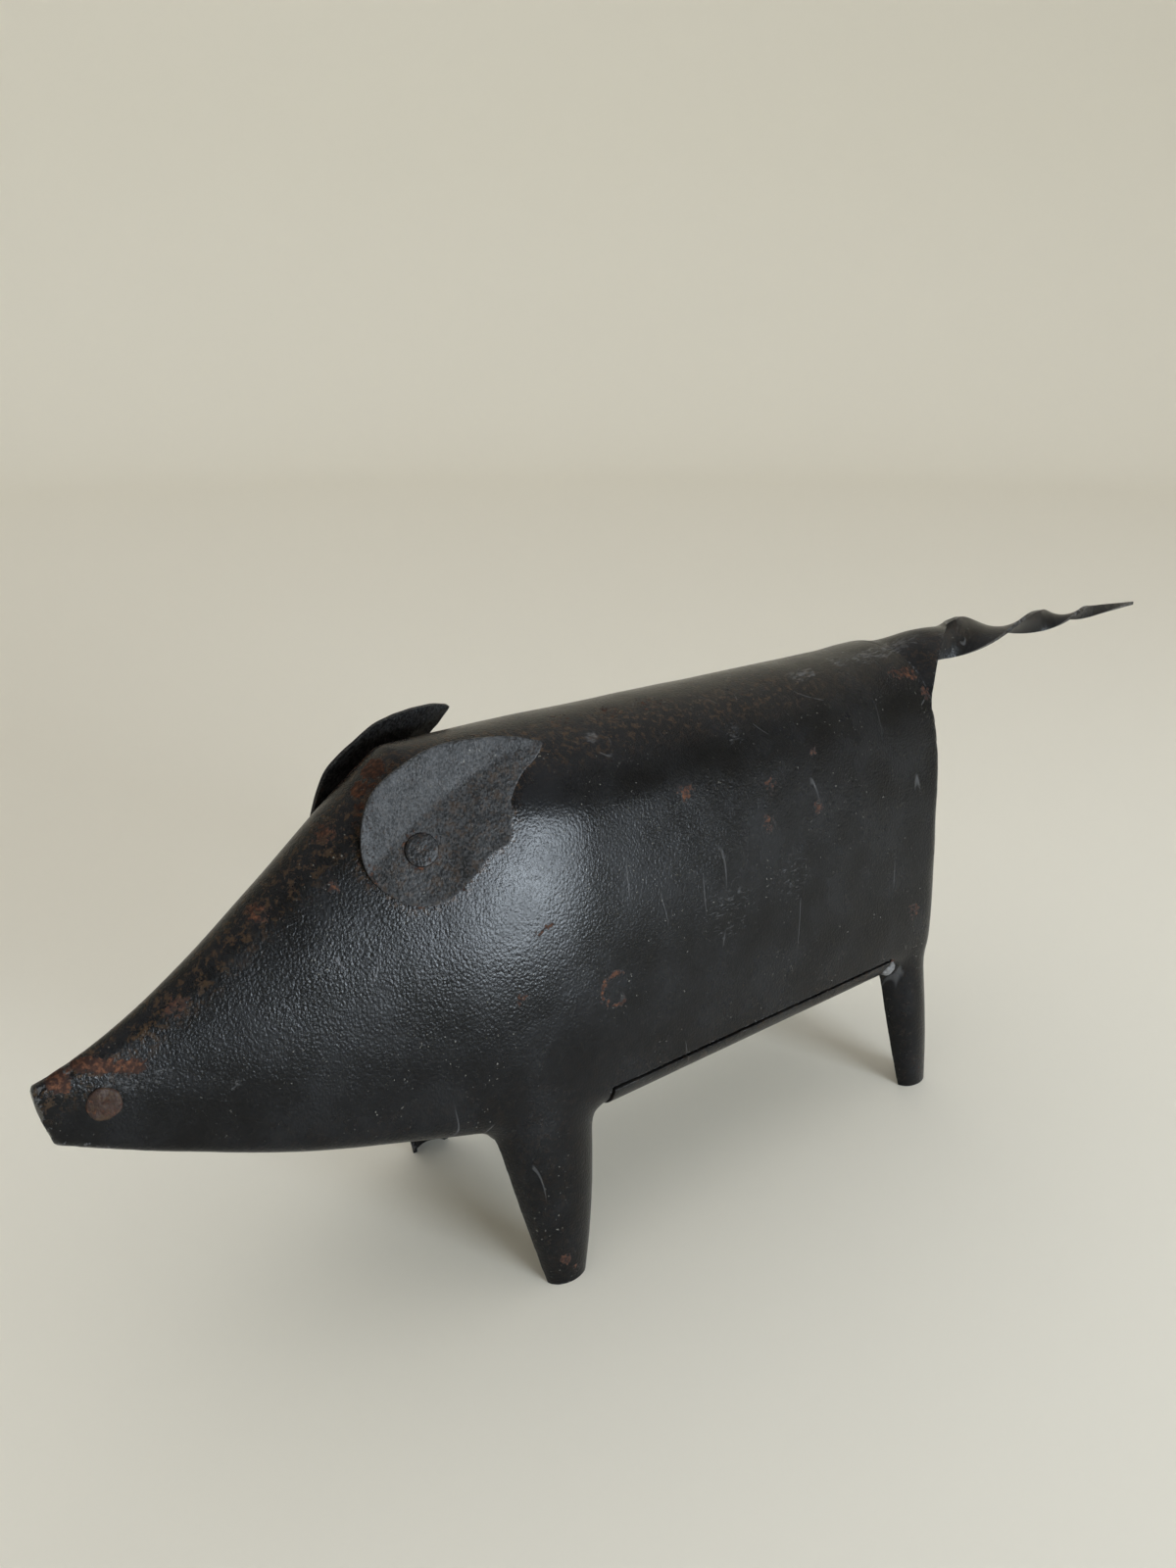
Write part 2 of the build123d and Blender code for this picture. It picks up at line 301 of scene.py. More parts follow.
def hull(name, inset):
    """Closed head and barrel, with a raked snout and a turn into the rump that gets crisp higher up."""

    def place(along, around):
        half_share = 1 - abs(2 * around - 1)
        side = -1 if around < 0.5 else 1
        low_share = min(max((flank_share - half_share) / (flank_share - under_share), 0.0), 1.0)
        front_x = snout_x + snout_rake * low_share ** 2
        turn_radius = blend(rump_corner, crisp_corner, ease(half_share, crisp_start, crisp_end))
        if along < rump_turn_share:
            x = blend(front_x, rump_x - turn_radius, along / rump_turn_share)
            y, z = skin_point(x, half_share, inset)
        else:
            angle = pi / 2 * (along - rump_turn_share) / (1 - rump_turn_share)
            corner = turn_radius - inset
            x = rump_x - turn_radius + corner * sin(angle)
            y, z = skin_point(x, half_share, inset + corner * (1 - cos(angle)))
        return x, side * y, z

    piece = bent_sheet(name, 240, 140, place)
    close_up(piece)
    return piece


def leg_sizes(leg, height):
    """X, half length, depth and reach of a leg at a height, on a smooth curve through its three levels."""
    low, middle, high = (level[0] for level in leg)
    low_part = (height - middle) * (height - high) / ((low - middle) * (low - high))
    middle_part = (height - low) * (height - high) / ((middle - low) * (middle - high))
    high_part = (height - low) * (height - middle) / ((high - low) * (high - middle))
    return [
        low_part * foot + middle_part * knee + high_part * top
        for foot, knee, top in zip(leg[0][1:], leg[1][1:], leg[2][1:])
    ]


below_floor = -4.0


def leg_cone(name, leg, side, inset):
    """Closed round leg that widens from below the floor up to its hidden top."""

    def place(around, up):
        height = blend(below_floor, leg_top, up)
        x, half_length, depth, reach = leg_sizes(leg, height)
        angle = 2 * pi * around
        y = reach - depth + (depth - inset) * sin(angle)
        return x + (half_length - inset) * cos(angle), side * y, height

    piece = bent_sheet(name, 48, 60, place)
    close_up(piece)
    return piece


leg_runout = 12.0
leg_fade_low = 72.0
leg_fade_high = 96.0
leg_smooth_low = 24.0
leg_smooth_high = 58.0


def leg_nearness(point):
    """1 on a leg and where it runs out into the flank, 0 away from the legs."""
    nearness = 0.0
    height = min(max(point.z / mm, 0.0), leg_top)
    for leg in (front_leg, rear_leg):
        x, half_length, depth, reach = leg_sizes(leg, height)
        outside = abs(point.x / mm - x) - half_length
        nearness = max(nearness, 1 - ease(outside, 0, leg_runout))
    return nearness * (1 - ease(point.z / mm, leg_fade_low, leg_fade_high))


def mark(piece, name, weight):
    """Vertex group whose weight at each point is worked out from its place."""
    group = piece.vertex_groups.new(name=name)
    for vertex in piece.data.vertices:
        share = weight(vertex.co)
        if share > 0:
            group.add([vertex.index], share, "REPLACE")


# Hammer dents: distance between them and depth, in millimetres
broad_dents = (26.0, 0.45)
small_dents = (9.0, 0.14)
# Where the dents fade in and out: heights above the feet, lengths behind the snout and before the rump,
# and depths below the crest of the back
dented_height = (8.0, 40.0)
dented_behind_snout = 40.0
undented_before_rump = (8.0, 24.0)
undented_below_crest = (20.0, 34.0)


def hammer(skin):
    """Dents the skin inwards, and leaves the feet, the thin snout and the root of the tail as they are."""
    inwards = [-vertex.normal for vertex in skin.data.vertices]
    for vertex, direction in zip(skin.data.vertices, inwards):
        point = vertex.co / mm
        depth = 0.0
        for spread, strength in (broad_dents, small_dents):
            depth += strength * (0.5 + 0.5 * noise.noise(point / spread))
        depth *= ease(point.z, *dented_height) * ease(point.x, snout_x, snout_x + dented_behind_snout)
        near_rump = 1 - ease(rump_x - point.x, *undented_before_rump)
        near_crest = 1 - ease(back_height - point.z, *undented_below_crest)
        depth *= 1 - near_rump * near_crest
        vertex.co += direction * depth * mm


skin_grain = 1.42


def hammered_skin(name, inset):
    """Head, barrel and legs run together in one smooth closed skin."""
    barrel = hull(name + "_hull", inset)
    legs = [
        leg_cone(name + "_leg", leg, side, inset)
        for leg in (front_leg, rear_leg)
        for side in (-1, 1)
    ]
    skin = join([copy_of(barrel, name)] + legs)
    finish_with(skin, "REMESH", mode="VOXEL", voxel_size=skin_grain * mm)
    mark(
        skin,
        "leg",
        lambda point: leg_nearness(point) * ease(point.z / mm, leg_smooth_low, leg_smooth_high),
    )
    mark(skin, "plain", lambda point: 1 - leg_nearness(point))
    finish_with(skin, "SMOOTH", factor=0.5, iterations=4)
    finish_with(skin, "SMOOTH", factor=0.5, iterations=42, vertex_group="leg")
    finish_with(skin, "SHRINKWRAP", target=barrel, wrap_method="NEAREST_SURFACEPOINT", vertex_group="plain")
    bpy.data.objects.remove(barrel)
    hammer(skin)
    return skin


def block(name, low, high):
    """Straight block between two corners, in millimetres."""
    deselect()
    bpy.ops.mesh.primitive_cube_add(size=1)
    piece = bpy.context.object
    piece.name = name
    for vertex in piece.data.vertices:
        share = vertex.co + Vector((0.5, 0.5, 0.5))
        vertex.co = Vector([blend(low[i], high[i], share[i]) for i in range(3)]) * mm
    return piece


def cut(piece, cutter):
    finish_with(piece, "BOOLEAN", operation="DIFFERENCE", solver="EXACT", object=cutter)
    bpy.data.objects.remove(cutter)


def merge(piece, other):
    finish_with(piece, "BOOLEAN", operation="UNION", solver="EXACT", object=other)
    bpy.data.objects.remove(other)


past_flanks = 60.0


def trough_space():
    """Space between the legs, narrower at the belly, that leaves every leg an open trough."""
    foot_y = front_leg[0][4] - trough_lip
    belly_y = body_half_width - trough_lip_top
    top = belly_height + sheet_thickness
    piece = block("trough_space", (poll_x - 20, -foot_y, below_floor * 2), (rump_x + 20, foot_y, top))
    for vertex in piece.data.vertices:
        if vertex.co.z > 0:
            vertex.co.y *= belly_y / foot_y
    return piece


def under_opening():
    """Long opening under the head and chest, between the turned-in lips."""
    half_outline = (
        (snout_x + closed_snout, 0.4),
        (poll_x, poll_half_width - under_lip),
        (poll_x + shoulder_run, body_half_width - under_lip),
        (rump_x - under_lip, body_half_width - under_lip),
    )
    outline = [(x, y) for x, y in half_outline] + [(x, -y) for x, y in reversed(half_outline)]
    deselect()
    bpy.ops.mesh.primitive_circle_add(vertices=len(outline), radius=1, fill_type="NGON")
    piece = bpy.context.object
    piece.name = "under_opening"
    for vertex, (x, y) in zip(piece.data.vertices, outline):
        vertex.co = Vector((x, y, below_floor * 3)) * mm
    pick(piece)
    bpy.ops.object.mode_set(mode="EDIT")
    bpy.ops.mesh.select_all(action="SELECT")
    rise = (snout_bottom_height - below_floor * 3) * mm
    bpy.ops.mesh.extrude_region_move(TRANSFORM_OT_translate={"value": (0, 0, rise)})
    bpy.ops.mesh.select_all(action="SELECT")
    bpy.ops.mesh.normals_make_consistent(inside=False)
    bpy.ops.object.mode_set(mode="OBJECT")
    return piece


def tail_strip():
    """Strip that leaves the back flush with its skin, rises into a scoop and twists as it narrows."""
    neck = tail_stops[2][0]
    root_bow = back_fold - sheet_thickness / 2
    root_start = tail_stops[0][0]

    def place(along, across):
        behind = blend(root_start, tail_end, along)
        proud = blend(-tail_root_sink, tail_root_proud, ease(behind, root_start, 0.4 * root_start))
        root_height = back_height + tail_lift - sheet_thickness / 2 + proud
        for (start, start_turn), (end, end_turn) in zip(tail_stops, tail_stops[1:]):
            if behind <= end:
                break
        turn = -pi / 2 * blend(start_turn, end_turn, (behind - start) / (end - start))
        if behind < neck:
            root_share = 1 - max(0.0, behind) / neck
            flare_share = (neck - behind) / (neck - root_start)
            half_width = blend(tail_neck_half_width, tail_root_half_width, flare_share ** tail_root_flare)
            height = blend(tail_neck_height, root_height, root_share ** tail_root_fall)
            before_hump = ease(behind, 0, tail_hump_place)
            after_hump = ease(behind, tail_hump_place, tail_hump_end)
            height += tail_hump * before_hump * (1 - after_hump)
        else:
            tip_share = (behind - neck) / (tail_end - neck)
            half_width = blend(tail_neck_half_width, tail_tip_half_width, tip_share)
            height = blend(tail_neck_height, tail_tip_height, tip_share)
        flat = half_width * (2 * across - 1)
        scooped = ease(behind, 0, tail_scoop_full) * (1 - ease(behind, tail_scoop_fade, tail_scoop_end))
        bow = blend(root_bow, tail_scoop * half_width, scooped)
        arch = sqrt(bow ** 2 - flat ** 2) - bow
        y = flat * cos(turn) - arch * sin(turn)
        z = height + flat * sin(turn) + arch * cos(turn)
        return rump_x + behind, y, z

    strip = bent_sheet("tail_strip", 220, 30, place)
    face_towards(strip, Vector((0, 0, 1)))
    finish_with(strip, "SOLIDIFY", thickness=sheet_thickness * mm, offset=0)
    return strip


def body_sheet():
    """Hollow skin, cut open between the legs, under the head and at the rump's seam, with its tail."""
    body = hammered_skin("pig_body", 0.0)
    cut(body, hammered_skin("pig_hollow", sheet_thickness))
    space = trough_space()
    merge(space, under_opening())
    notch_top = belly_height + flange_height + slit_gap
    notch = block(
        "notch",
        (belly_front_x, -past_flanks, below_floor * 4),
        (belly_rear_x, past_flanks, notch_top),
    )
    merge(space, notch)
    floor_cut = block(
        "floor_cut",
        (snout_x - 9, -past_flanks - 9, below_floor * 5),
        (rump_x + 30, past_flanks + 9, 0),
    )
    merge(space, floor_cut)
    seam = block(
        "rump_seam",
        (rump_x - rump_corner, -rump_seam_gap / 2, below_floor),
        (rump_x + 2, rump_seam_gap / 2, back_height - rump_seam_drop),
    )
    merge(space, seam)
    cut(body, space)
    merge(body, tail_strip())
    return body


# Near ear, measured on the skin from its seat: along the pig and up the side of the head
ear_seat = Seat(poll_x - 2.8, back_height - 20.6)
ear_thickness = 1.0
ear_bedding = 0.2
ear_outline = (
    (34.4, 17.5), (31.4, 19.3), (26.6, 21.0), (19.8, 22.1), (12.5, 22.6), (6.9, 22.0), (0.9, 19.9),
    (-4.2, 17.4), (-7.6, 14.8), (-10.4, 10.4), (-12.0, 5.4), (-12.5, 1.0), (-11.6, -3.4), (-8.9, -7.6),
    (-5.1, -11.0), (-0.7, -13.0), (3.9, -13.0), (7.6, -11.4), (11.8, -8.7), (14.7, -6.3), (16.5, -4.7),
    (20.9, -3.6), (22.2, -1.3), (22.9, 1.3), (23.9, 2.9), (23.7, 5.7), (25.2, 8.4), (28.6, 12.2),
    (31.6, 14.2),
)
ear_hub = Vector((1.0, -0.1))
ear_rivet_radius = 3.95
front_lift = 0.14
rear_lift = 0.06


def outline_point(share):
    """Point on the ear's outline, on a smooth curve through its corners."""
    count = len(ear_outline)
    start = int(share * count) % count
    local = share * count - int(share * count)
    before, here, there, after = (Vector(ear_outline[(start + step) % count]) for step in (-1, 0, 1, 2))
    curve = 2 * here + (there - before) * local
    curve += (2 * before - 5 * here + 4 * there - after) * local ** 2
    curve += (3 * here - before - 3 * there + after) * local ** 3
    return curve / 2


outline_steps = 174
outline_points = [outline_point(step / outline_steps) for step in range(outline_steps)]


def edge_distance(along, up):
    """Distance from a place in the ear's plane to the ear's edge."""
    return min((Vector((along, up)) - point).length for point in outline_points)


crease_top = 17.8
crease_climb = 11.9
crease_run = 34.0
crease_curve = 1.7


def crease_up(along):
    """Height of the crease above the rivet's seat, on a curve that rises and levels out to the tip."""
    return crease_top - crease_climb * max(0.0, 1 - along / crease_run) ** crease_curve


def crease_height(along, up):
    """Rise of the ear's sheet to both sides of its crease, flat around the rivet and on the lobe."""
    away = up - crease_up(along)
    if away > 0:
        return front_lift * away
    return -rear_lift * away * ease(along, 4, 14)


def ear_leaf():
    """Leaf of sheet bedded on the head, creased and a little rippled towards its edge."""

    def place(around, out):
        edge = outline_point(around)
        along = blend(ear_hub.x, edge.x, out)
        up = blend(ear_hub.y, edge.y, out)
        ripple = 0.25 * out * noise.noise(Vector((along, up, 3.0)) * 0.22)
        return ear_seat.at(along, up, crease_height(along, up) + ripple - ear_bedding)

    ear = bent_sheet("left_ear_leaf", outline_steps, 26, place)
    face_towards(ear, ear_seat.out)
    finish_with(ear, "SOLIDIFY", thickness=ear_thickness * mm, offset=1)
    finish_with(ear, "BEVEL", width=0.18 * mm, segments=2, limit_method="ANGLE", angle_limit=radians(50))
    return ear


def turned(name, profile, seat, hub, unevenness):
    """Round piece from a profile of radius and height points, set on a seat and a little uneven."""
    last = len(profile) - 1

    def place(around, down):
        step = min(int(down * last), last - 1)
        radius = blend(profile[step][0], profile[step + 1][0], down * last - step)
        height = blend(profile[step][1], profile[step + 1][1], down * last - step)
        angle = 2 * pi * around
        swell = 1 + 0.35 * unevenness * noise.noise(Vector((cos(angle), sin(angle), seat.point.x)) * 1.3)
        along = radius * swell * cos(angle)
        up = radius * swell * sin(angle)
        dent = unevenness * noise.noise(Vector((along, up, seat.point.x)) * 0.45)
        return seat.at(hub.x + along, hub.y + up, height + dent)

    piece = bent_sheet(name, 56, 6 * last, place)
    close_up(piece)
    return piece


shank_radius = 2.05


def ear_rivet():
    """Flat head on the ear, a shank through the sheets and a clenched end inside."""
    skin = ear_thickness - ear_bedding
    profile = (
        (0.0, skin + 0.62), (1.6, skin + 0.62), (3.2, skin + 0.55), (3.75, skin + 0.45),
        (ear_rivet_radius, skin + 0.2), (ear_rivet_radius, skin - 0.05), (shank_radius, skin - 0.05),
        (shank_radius, -1.2), (3.5, -1.25), (3.3, -2.0), (1.8, -2.3), (0.0, -2.35),
    )
    return turned("left_ear_rivet_head", profile, ear_seat, ear_hub, 0.12)


snout_seat = Seat(snout_x + 12.5, snout_bottom_height + 7.0)
snout_rivet_radius = 3.65


def snout_rivet():
    """Shank across the snout with a worn head on each side."""
    profile = (
        (0.0, 0.5), (1.5, 0.52), (2.8, 0.45), (3.4, 0.36), (snout_rivet_radius, 0.15),
        (snout_rivet_radius, -0.2), (shank_radius, -0.2), (shank_radius, -4.4), (0.0, -4.4),
    )
    near = turned("snout_rivet_heads", profile, snout_seat, Vector((0, 0)), 0.2)
    return join([near, mirrored(near, "snout_rivet_far")])


def belly_pan():
    """Pan between the legs, its turned-up edges flush with the flanks."""
    flange_angle = acos(1 - flange_height / belly_turn)
    edge_share = under_share + (turn_share - under_share) * flange_angle / (pi / 2)

    def place(along, around):
        x = blend(belly_front_x + end_gap, belly_rear_x - end_gap, along)
        out = 2 * around - 1
        y, z = skin_point(x, abs(out) * edge_share, 0.0)
        ripple = 0.3 * (1 - abs(out)) * noise.noise(Vector((x, out * 30, 7.0)) * 0.05)
        return x, y * (1 if out > 0 else -1), z + ripple

    pan = bent_sheet("belly_pan", 90, 90, place)
    face_towards(pan, Vector((0, 0, -1)))
    finish_with(pan, "SOLIDIFY", thickness=sheet_thickness * mm, offset=-1)
    finish_with(pan, "BEVEL", width=0.2 * mm, segments=2, limit_method="ANGLE", angle_limit=radians(50))
    return pan


weld_size = Vector((3.0, 2.6, 2.7))
weld_sink = 1.6
weld_rise = flange_height - weld_drop
weld_y = body_half_width - belly_turn + sqrt(belly_turn ** 2 - (belly_turn - weld_rise) ** 2) - weld_sink
weld_place = Vector((belly_rear_x - end_gap / 2, -weld_y, belly_height + weld_rise))


def tack_welds():
    """Lumpy beads over the gap at the rear corners of the belly pan."""
    deselect()
    bpy.ops.mesh.primitive_uv_sphere_add(segments=40, ring_count=24, radius=1)
    bead = bpy.context.object
    bead.name = "tack_weld_beads"
    for vertex in bead.data.vertices:
        swell = 1 + 0.16 * noise.noise(vertex.co * 2.3)
        vertex.co = (weld_place + vertex.co * weld_size * swell) * mm
    return join([bead, mirrored(bead, "tack_weld_far")])


# Weathered places on the body, in millimetres: centre, reach and strength
snout_rust = (
    ((-209.5, -0.5, 86.5), 3, 0.7), ((-210, -2, 85.5), 2.5, 0.7), ((-208.5, -2.5, 84.5), 2.2, 0.7),
    ((-205, -1, 88), 2.8, 0.7), ((-203, -2.5, 87.5), 2.8, 0.6), ((-201, -3.5, 87), 2.8, 0.6),
    ((-199, -4.5, 86), 2.8, 0.6), ((-196, -5, 85.5), 3.2, 0.8), ((-193.5, -6, 85.5), 2.8, 0.6),
)
brow_rust = (
    ((-132.5, -1.5, 138.5), 4.5, 0.85), ((-137.5, -3, 135), 3.5, 0.6), ((-149, -11, 116.5), 2.5, 0.7),
    ((-147, -4.5, 127), 5, 0.4), ((-165, -4.5, 112.5), 5, 0.4), ((-184.5, -5, 95.5), 5, 0.45),
)
back_rust = (
    ((-81, -6, 141.5), 8, 0.45), ((-66, -7, 141), 9, 0.45), ((-52, -7, 141.5), 9, 0.45),
    ((40, -16.5, 137), 5, 0.6), ((46, -17.5, 136.5), 5, 0.65), ((48, -22.5, 131), 4, 0.7),
)
flank_rust = (
    ((-56, -26.5, 122.5), 5, 0.6), ((-25.5, -28, 118), 5, 0.55), ((-7, -26, 124), 2.5, 0.75),
    ((-28, -30, 108), 5, 0.5), ((-7.5, -30, 108.5), 4, 0.6), ((47, -33, 110), 6, 0.5),
    ((48, -34, 80), 6, 0.5), ((35.5, -35.5, 65.5), 5, 0.6), ((26, -35, 48.5), 4, 0.8),
    ((-103.5, -30.5, 100), 2, 0.75), ((-106.5, -30, 99), 1.4, 0.9), ((-112.5, -31.5, 84), 3, 0.6),
)
foot_rust = (((-105, -38, 8), 3, 0.8), ((-101, -38, 4), 3, 0.5), ((44, -38, 5), 4, 0.5))
far_rust = (
    ((-110, 30, 95), 6, 0.5), ((-60, 32, 100), 6, 0.55), ((10, 34, 80), 6, 0.55), ((40, 35, 60), 5, 0.6),
)
rust_marks = snout_rust + brow_rust + back_rust + flank_rust + foot_rust + far_rust

back_scuffs = (
    ((-77.5, -14, 138.5), 3.5, 0.55), ((3, -9, 140.5), 5, 0.55), ((9, -8.5, 141), 5, 0.55),
    ((25, -6, 141.5), 7, 0.5), ((34, -7, 142), 7, 0.5), ((42, -7.5, 142.5), 7, 0.5),
    ((50, -7, 143.5), 7, 0.5), ((58, -7, 143.5), 7, 0.5), ((66, -6, 144), 6, 0.5),
)
flank_scuffs = (
    ((-34, -21.5, 132.5), 6, 0.3), ((-45, -34, 88), 14, 0.3), ((-20, -35, 92), 12, 0.3),
    ((-20, 30, 110), 12, 0.35),
)
snout_scuffs = (
    ((-207, -3, 84.5), 4.5, 0.2), ((-203, -4, 84), 5, 0.22), ((-199, -5, 83.5), 5, 0.25),
    ((-197, -6, 82), 5.5, 0.2), ((-193, -7, 82.5), 5, 0.22), ((-189.5, -8, 82.5), 4, 0.3),
    ((-176.5, -13, 77), 2.2, 0.6),
)
scuff_marks = back_scuffs + flank_scuffs + snout_scuffs

# Broken ring of rust behind the front leg
ring_place = Vector((-85.5, -34.7, 78.7))
ring_radius = 4.5
ring_width = 1.6


def spots(point, marks):
    """Strength of the marks at a point."""
    strength = 0.0
    for centre, reach, most in marks:
        away = (point - Vector(centre)).length
        if away < reach:
            strength += most * (1 - ease(away, 0.3 * reach, reach))
    return strength


def body_finish(point):
    """Rust, scuff and brown on the body sheet; the brown low down is a painted reflection, and along the
    crest it is partly patina and partly a painted reflection.
    """
    top = girth(min(point.x, rump_x))[0]
    crest = 1 - ease(top - point.z, 1, 11)
    head = 1 - ease(point.x, poll_x - 8, poll_x + 8)
    rust = spots(point, rust_marks) + 0.22 * crest * head
    ring_away = abs((point - ring_place).length - ring_radius)
    if point.x < ring_place.x + 3:
        rust += 0.7 * (1 - ease(ring_away, 0.3, ring_width))
    # Brown along the crest is partly patina and partly a painted reflection of the backdrop; the brown below
    # about 75 mm is a painted reflection of the floor.
    brown = 0.9 * crest * (1 - 0.6 * ease(point.x, -20, 40)) + 0.12 * (1 - ease(point.z, 45, 75))
    along, up, out = ear_seat.measure(Vector((point.x, -abs(point.y), point.z)))
    if abs(along) < 45 and abs(up) < 30 and abs(out) < 20:
        hem = 1 - ease(edge_distance(along, up), 0.6, 3.2)
        rust += 0.35 * hem
        brown += 0.8 * hem
    return rust, spots(point, scuff_marks), brown


def ear_finish(point):
    """Rust, scuff and brown on an ear: paler above its crease and browner below it, partly wear and partly
    painted light and shade on the crease's two sides, rusty round its rivet and along its front.
    """
    along, up, out = ear_seat.measure(Vector((point.x, -abs(point.y), point.z)))
    # Painted light and shade, with some wear: more bare steel above the crease, more brown below it.
    upper = ease(up - crease_up(along), -1.5, 1.0)
    rivet_away = (Vector((along, up)) - ear_hub).length
    rivet_rust = 1 - ease(abs(rivet_away - ear_rivet_radius), 0.4, 1.6)
    front = 1 - ease(along, -11, -4)
    rust = 0.3 * rivet_rust + 0.2 * front + 0.15
    return rust, blend(0.05, 0.27, upper), blend(0.4, 0.1, upper)


def even_finish(rust, scuff, brown):
    """The same rust, scuff and brown all over a piece."""
    return lambda point: (rust, scuff, brown)


def weld_finish(point):
    """Rust in lumps on scuffed metal."""
    return 0.3 + 0.4 * noise.noise(point * 0.4), 0.7, 0.2


sharp_edge = radians(24)


def worn_edges(piece):
    """1 at each point on a sharp edge of a piece, 0 elsewhere."""
    shape = bmesh.new()
    shape.from_mesh(piece.data)
    worn = [0.0] * len(shape.verts)
    for edge in shape.edges:
        if edge.calc_face_angle(0.0) > sharp_edge:
            for vertex in edge.verts:
                worn[vertex.index] = 1.0
    shape.free()
    return worn


def weather(piece, finish):
    """Stores rust, scuff, brown and bare edge at each point of a piece, for its material."""
    worn = worn_edges(piece)
    layer = piece.data.attributes.new("finish", "FLOAT_COLOR", "POINT")
    for vertex in piece.data.vertices:
        rust, scuff, brown = finish(vertex.co / mm)
        layer.data[vertex.index].color = (rust, scuff, brown, worn[vertex.index])


def wire(tree, kind, inputs, **settings):
    """Adds a node with its choices, and gives each input a value or a link."""
    node = tree.nodes.new(kind)
    for name, value in settings.items():
        setattr(node, name, value)
    for key, value in inputs.items():
        if isinstance(value, bpy.types.NodeSocket):
            tree.links.new(value, node.inputs[key])
        else:
            node.inputs[key].default_value = value
    return node


def cloud(tree, place, scale, detail, roughness):
    inputs = {"Vector": place, "Scale": scale, "Detail": detail, "Roughness": roughness}
    return wire(tree, "ShaderNodeTexNoise", inputs).outputs["Fac"]


def calc(tree, operation, first, second):
    return wire(tree, "ShaderNodeMath", {0: first, 1: second}, operation=operation).outputs[0]


def between(tree, value, low, high, bottom=0.0, top=1.0):
    """Runs smoothly from bottom to top as the value goes from low to high."""
    inputs = {"Value": value, "From Min": low, "From Max": high, "To Min": bottom, "To Max": top}
    return wire(tree, "ShaderNodeMapRange", inputs, interpolation_type="SMOOTHSTEP").outputs["Result"]


def mixed(tree, share, first, second):
    return wire(tree, "ShaderNodeMix", {0: share, 6: first, 7: second}, data_type="RGBA").outputs[2]


def shader_group(name, inputs, outputs):
    """New node group with named sockets; gives its tree, its inputs and its outputs."""
    tree = bpy.data.node_groups.new(name, "ShaderNodeTree")
    for socket, kind in inputs.items():
        tree.interface.new_socket(socket, in_out="INPUT", socket_type=kind)
    for socket in outputs:
        tree.interface.new_socket(socket, in_out="OUTPUT", socket_type="NodeSocketFloat")
    return tree, tree.nodes.new("NodeGroupInput").outputs, tree.nodes.new("NodeGroupOutput").inputs


def use_group(tree, group, inputs):
    return wire(tree, "ShaderNodeGroup", inputs, node_tree=bpy.data.node_groups[group]).outputs


def make_grain():
    """Pebbled skin of hammered and blackened steel, with broad cloudy patches and fine speckles."""
    inputs = {"Place": "NodeSocketVector", "Grain": "NodeSocketFloat"}
    tree, given, result = shader_group("hammered_grain", inputs, ("Height", "Mottle", "Speckle"))
    place = given["Place"]
    pebble_inputs = {"Vector": place, "Scale": given["Grain"], "Smoothness": 0.15}
    pebbles = wire(tree, "ShaderNodeTexVoronoi", pebble_inputs, feature="SMOOTH_F1")
    drawn_out = wire(tree, "ShaderNodeMapping", {"Vector": place, "Scale": (1.0, 1.0, 0.55)}).outputs[0]
    wrinkles = cloud(tree, drawn_out, calc(tree, "MULTIPLY", given["Grain"], 1.6), 3.0, 0.55)
    height = calc(tree, "ADD", calc(tree, "MULTIPLY", pebbles.outputs["Distance"], -0.5), wrinkles)
    tree.links.new(height, result["Height"])
    tree.links.new(cloud(tree, place, 55.0, 4.0, 0.6), result["Mottle"])
    speckle_scale = calc(tree, "MULTIPLY", given["Grain"], 1.6)
    speckles = wire(tree, "ShaderNodeTexVoronoi", {"Vector": place, "Scale": speckle_scale})
    speckle = wire(tree, "ShaderNodeSeparateColor", {"Color": speckles.outputs["Color"]}).outputs["Red"]
    tree.links.new(speckle, result["Speckle"])


def make_patches():
    """Ragged patches that spread as their amount rises."""
    inputs = {name: "NodeSocketFloat" for name in ("Amount", "Size", "Softness")}
    inputs["Place"] = "NodeSocketVector"
    tree, given, result = shader_group("ragged_patches", inputs, ("Mask",))
    breakup = cloud(tree, given["Place"], given["Size"], 6.0, 0.68)
    spread = calc(tree, "ADD", breakup, calc(tree, "MULTIPLY", given["Amount"], 0.5))
    low = calc(tree, "SUBTRACT", 0.8, given["Softness"])
    high = calc(tree, "ADD", 0.8, given["Softness"])
    tree.links.new(between(tree, spread, low, high), result["Mask"])


def make_scratches():
    """Thin curved scratches, drawn where a cloud crosses its middle tone and broken into short runs."""
    inputs = {"Place": "NodeSocketVector", "Scale": "NodeSocketFloat"}
    tree, given, result = shader_group("fine_scratches", inputs, ("Mask",))
    crossing = calc(tree, "SUBTRACT", cloud(tree, given["Place"], given["Scale"], 0.0, 0.5), 0.5)
    line = between(tree, calc(tree, "ABSOLUTE", crossing, 0.0), 0.0015, 0.006, 1.0, 0.0)
    runs = between(tree, cloud(tree, given["Place"], 150.0, 1.0, 0.5), 0.58, 0.66)
    tree.links.new(calc(tree, "MULTIPLY", line, runs), result["Mask"])


make_grain()
make_patches()
make_scratches()

rust_dark = (0.022, 0.01, 0.007, 1)
rust_light = (0.105, 0.042, 0.021, 1)
# Brown for patina, and also for painted reflections and painted shade.
brown_patina_and_painted_light = (0.04, 0.023, 0.012, 1)
bare_steel = (0.12, 0.12, 0.122, 1)
dust = (0.12, 0.115, 0.1, 1)

# Scales of the finish's patterns, per metre, and the width of their borders
scuff_scale = 1300.0
scratch_scale = 60.0
chip_scale = 900.0
rust_scale = 800.0
rust_tone_scale = 900.0
freckle_scale = 600.0
speck_scale = 1300.0
dust_scale = 60.0
soft_border = 0.14
hard_border = 0.06
grain_depth = 0.0001


